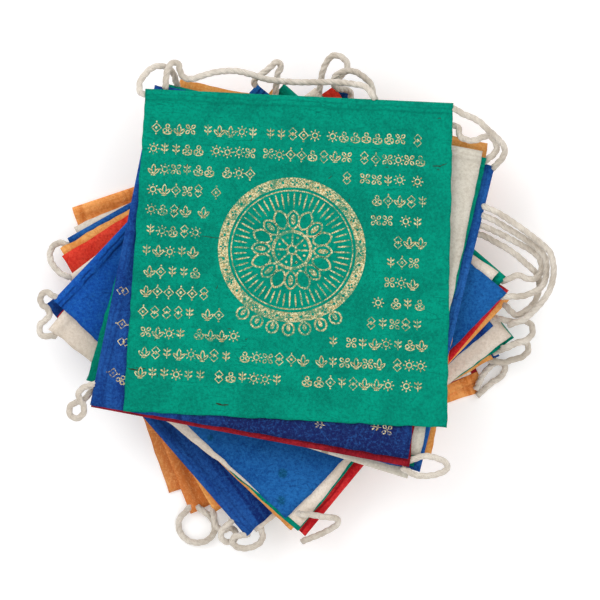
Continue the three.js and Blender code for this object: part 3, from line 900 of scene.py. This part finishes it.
# %% Rows round the middle
ROWS = 13
FIRST_ROW = 19.3
ROW_PITCH = 10.2
ROW_START = 7.0
ROW_END = 141.0
PITCH = 5.6
GROUP_GAP = 3.2
WHEEL_AT = (76.5, 76.8)
CLEAR_ROUND = 41.5
GARLAND_CLEAR = 7.5


def printed_rows(ink):
    """Rows of ornaments in groups, parted round the place of the wheel. Down the flag is -Y."""
    pick = random.Random(RANDOM_SEED)
    count = 0
    for row in range(ROWS):
        depth = FIRST_ROW + ROW_PITCH * row
        away = depth - WHEEL_AT[1]
        if away > 0:
            away = max(0.0, away - GARLAND_CLEAR)
        parted = math.sqrt(max(0.0, CLEAR_ROUND**2 - away**2))
        x = ROW_START + pick.uniform(-1.5, 1.5)
        left_in_group = pick.randint(4, 8)
        while x < ROW_END:
            if abs(x - WHEEL_AT[0]) > parted + 2:
                pick.choice(ORNAMENTS)(ink, x, -depth + pick.uniform(-0.25, 0.25))
                count += 1
            x += PITCH + pick.uniform(-0.2, 0.2)
            left_in_group -= 1
            if left_in_group == 0:
                x += GROUP_GAP
                left_in_group = pick.randint(4, 8)
    return count

# %% The wheel in its lotus
BAND_RADIUS = 33.6
BAND_LINE = 1.6
BAND_MARKS = 36
RAYS = 56
WHEEL_SPOKES = 8


def wheel(ink, x, y):
    """A round ornament: a gold band, rays, two rounds of lotus petals and a wheel."""
    for line in (-1, 0, 1):
        arc(ink, x, y, BAND_RADIUS + BAND_LINE * line, steps=120, stroke=1.62)
    arc(ink, x, y, 29.6, steps=96, stroke=0.6)
    for k in range(RAYS):
        turn = FULL_TURN * k / RAYS
        leaf(ink, x, y, turn, 20.4 + 1.6 * (k % 2), 28.6, 0.85, sides=8)
    for k in range(WHEEL_SPOKES):
        turn = FULL_TURN * k / WHEEL_SPOKES
        petal(ink, x, y, turn + UP / 4, 11.0, 20.6, 6.4, steps=8, stroke=0.9)
        petal(ink, x, y, turn, 10.4, 19.6, 6.0, steps=8, stroke=0.9)
        leaf(ink, x, y, turn, 12.6, 17.8, 2.4, sides=10)
        leaf(ink, x, y, turn, 1.9, 8.4, 0.95, sides=8)
        dot(ink, x + 6.6 * math.cos(turn + UP / 4), y + 6.6 * math.sin(turn + UP / 4), 0.6)
    arc(ink, x, y, 9.2, steps=48, stroke=1.5)
    arc(ink, x, y, 2.2, steps=20, stroke=1.0)
    for k in range(-3, 4):
        turn = -UP + k * 0.2
        petal(ink, x, y, turn, 36.4, 42.8, 5.6, steps=6, stroke=0.9)
        leaf(ink, x, y, turn, 37.2, 40.8, 1.9, sides=10)


def band_gaps(ink, x, y):
    """The bare marks within the gold band."""
    for k in range(BAND_MARKS):
        turn = FULL_TURN * k / BAND_MARKS
        spot = (x + BAND_RADIUS * math.cos(turn), y + BAND_RADIUS * math.sin(turn))
        if k % 3:
            dot(ink, *spot, 0.75, sides=6)
        else:
            for quarter in range(4):
                leaf(ink, *spot, turn + UP * quarter, 0.2, 1.7, 0.9)

# %% [markdown]
# The print is drawn flat so far. Now each of its points drops onto the paper, so that the
# ink follows the creases, and a lower side just inside the paper closes it. Block ink
# never covers well, so its finish lets the paper show in specks.

# %% Lay the ink on the paper
def laid_ink(name, flag, sheet, ink, lift, material):
    """Bends a flat print onto a sheet's upper side and gives it a thickness."""
    paper = BVHTree.FromPolygons(
        [vert.co for vert in sheet.data.vertices], [list(face.vertices) for face in sheet.data.polygons]
    )
    bmesh.ops.recalc_face_normals(ink, faces=ink.faces)
    grown = bmesh.ops.extrude_face_region(ink, geom=ink.faces[:], use_keep_orig=True)["geom"]
    lower = {item for item in grown if isinstance(item, bmesh.types.BMVert)}
    flat_map(ink, {vert: (vert.co.x * MM, -vert.co.y * MM) for vert in ink.verts})
    for vert in ink.verts:
        spot = flag.spot(vert.co.x * MM / flag.wide, -vert.co.y * MM)
        level = paper.ray_cast(Vector((*spot, 1)), Vector((0, 0, -1)))[0].z
        vert.co = (*spot, level - INK_DEPTH if vert in lower else level + lift)
    bmesh.ops.recalc_face_normals(ink, faces=ink.faces)
    piece = finished_object(name, ink, material, smooth=False)
    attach(piece, "root")
    print(name, len(piece.data.polygons), "faces")


def gold_ink(name, under, cover):
    """Thin gold ink on rough paper: it misses the hollows, so the paper under it shows in specks."""
    finish = Finish(name, roughness=0.62)
    place = finish.place()
    specks = finish.cloud(place, 1000, detail=4, rough=0.8)
    worn = finish.cloud(place, 130, detail=3)
    glints = finish.cloud(place, 1500, detail=2)
    missed = finish.between(specks + (worn - 0.5) * 0.5, cover, cover + 0.055)
    gold = finish.tint(finish.between(glints, 0.4, 0.6), linear(166, 142, 90), linear(228, 216, 172))
    finish.wear("Base Color", finish.tint(missed * 0.88, gold, under))
    finish.relief(specks, 0.1 * MM)
    return finish.material


GREEN_UNDER = linear(20, 126, 98)
BLUE_UNDER = linear(24, 62, 120)

row_gold = gold_ink("Gold_ink_rows", GREEN_UNDER, cover=0.52)
wheel_gold = gold_ink("Gold_ink_wheel", GREEN_UNDER, cover=0.475)
blue_flag, top_flag = flags[-2:]
blue_sheet = sheets[blue_flag.number]
top_sheet = sheets[top_flag.number]

print_rows = bmesh.new()
print("ornaments in the rows:", printed_rows(print_rows))
laid_ink("print_rows", top_flag, top_sheet, print_rows, INK, row_gold)
print_wheel = bmesh.new()
wheel(print_wheel, WHEEL_AT[0], -WHEEL_AT[1])
laid_ink("print_wheel", top_flag, top_sheet, print_wheel, INK, wheel_gold)
print_gaps = bmesh.new()
band_gaps(print_gaps, WHEEL_AT[0], -WHEEL_AT[1])
laid_ink("print_wheel_gaps", top_flag, top_sheet, print_gaps, GAP_LIFT, papers["green"])

# %% [markdown]
# The blue flag below is printed too, and a few of its ornaments show past the edge of
# the uppermost one. Their places are known in the photo, so each has to be found on the
# flag, whose sides are not quite square: a few rounds of small steps come close enough.

# %% Ornaments at the margin of the flag below
FINDING_ROUNDS = 8


def spot_on(flag, x, y):
    """How far across and down a flag a place of the photo lies, in millimetres."""
    p0, p1, _, p3 = flag.corners
    place = PHOTO_MIDDLE.xy + Vector((x, y)) * MM
    across = 0.0
    down = 0.0
    for _ in range(FINDING_ROUNDS):
        rest = place - flag.spot(across / flag.wide, down)
        across += rest.dot((p1 - p0).normalized())
        down += rest.dot((p3 - p0).normalized())
    return across / MM, down / MM


MARGIN_PLACES = [
    (-88.6, 4.5), (-89, -12), (-88.2, -21), (-93.5, -36.5), (-89.5, -40),
    (10, -62.3), (38, -63.4), (43.5, -65),
]
print_margin = bmesh.new()
margin_pick = random.Random(RANDOM_SEED + 1)
for x, y in MARGIN_PLACES:
    across, down = spot_on(blue_flag, x, y)
    margin_pick.choice(ORNAMENTS)(print_margin, across, -down)
blue_gold = gold_ink("Gold_ink_margin", BLUE_UNDER, cover=0.5)
laid_ink("print_margin", blue_flag, blue_sheet, print_margin, INK, blue_gold)

# %% [markdown]
# Bits of dark bark are left in the pulp. The largest lie on the paper like short hairs:
# thin leaves of a dark brown, a few of them where the photo shows them and the rest
# scattered.

# %% Flecks of bark
FLECKS = [
    {"x": -81.5, "y": -35, "turn": -0.1, "long": 9.0, "wide": 0.8},
    {"x": -39, "y": -52.5, "turn": -0.25, "long": 6.5, "wide": 0.9},
    {"x": 70, "y": 67, "turn": 0.05, "long": 8.0, "wide": 0.5},
    {"x": -42, "y": 31, "turn": -0.1, "long": 15.0, "wide": 0.35},
    {"x": -57, "y": 67, "turn": 0.6, "long": 3.0, "wide": 0.5},
    {"x": -61, "y": 45, "turn": 1.0, "long": 5.0, "wide": 0.5},
]
SCATTERED_FLECKS = 26


def bark_flecks(ink, flag):
    """Each fleck is two thin leaves, the second a little turned from the first."""
    places = [(spot_on(flag, row["x"], row["y"]), row["turn"], row["long"], row["wide"]) for row in FLECKS]
    scatter = random.Random(RANDOM_SEED + 2)
    for _ in range(SCATTERED_FLECKS):
        spot = (scatter.uniform(5, 148), scatter.uniform(6, 155))
        places.append((spot, scatter.uniform(0, math.pi), scatter.uniform(0.8, 2.6), 0.4))
    for (across, down), turn, long, wide in places:
        leaf(ink, across, -down, turn, -long / 2, long * 0.1, wide)
        leaf(ink, across, -down, turn + 0.35, -0.05 * long, long / 2, wide * 0.8)


def bark():
    finish = Finish("Dark_bark", roughness=0.8)
    grain = finish.cloud(finish.place(), 900)
    finish.wear("Base Color", finish.tint(grain, linear(24, 40, 30), linear(58, 70, 46)))
    return finish.material


flecks = bmesh.new()
bark_flecks(flecks, top_flag)
laid_ink("bark_flecks", top_flag, top_sheet, flecks, INK, bark())

# %% [markdown]
# The floor is a plain pale sheet, so large that its edge is never in view. Three large
# soft lamps over it and a bright even sky give a nearly shadowless light; the floor also
# glows a little, painted light that lightens the shadows on it.

# %% Floor
FLOOR_SIZE = 6.0
FLOOR_DROP = 0.3 * MM
FLOOR_GLOW = 0.14


def plain_floor():
    shape = bmesh.new()
    bmesh.ops.create_grid(shape, x_segments=1, y_segments=1, size=FLOOR_SIZE / 2)
    bmesh.ops.translate(shape, verts=shape.verts, vec=(0, 0, -FLOOR_DROP))
    finish = Finish("Pale_floor", roughness=0.7)
    finish.shader.inputs["Base Color"].default_value = linear(250, 250, 250)
    # Painted light: the floor glows a little, which lightens the shadows on it.
    finish.shader.inputs["Emission Color"].default_value = (1, 1, 1, 1)
    finish.shader.inputs["Emission Strength"].default_value = FLOOR_GLOW
    return finished_object("floor", shape, finish.material)


floor = plain_floor()

# %% Lights
LAMPS = [
    {"place": (-0.9, 0.9, 1.3), "watts": 12, "size": 1.2},
    {"place": (1.0, 0.5, 1.4), "watts": 6, "size": 1.4},
    {"place": (0.1, -1.1, 1.4), "watts": 5, "size": 1.4},
]
SKY = 0.75
for number, lamp in enumerate(LAMPS):
    light = bpy.data.lights.new(f"Soft_lamp_{number}", "AREA")
    light.energy = lamp["watts"]
    light.size = lamp["size"]
    holder = bpy.data.objects.new(light.name, light)
    holder.location = lamp["place"]
    holder.rotation_euler = (-Vector(lamp["place"])).to_track_quat("-Z", "Y").to_euler()
    bpy.context.collection.objects.link(holder)

world = bpy.data.worlds.new("Even_sky")
world.use_nodes = True
world.node_tree.nodes["Background"].inputs["Color"].default_value = (1, 1, 1, 1)
world.node_tree.nodes["Background"].inputs["Strength"].default_value = SKY
bpy.context.scene.world = world
bpy.context.scene.view_settings.view_transform = "Standard"
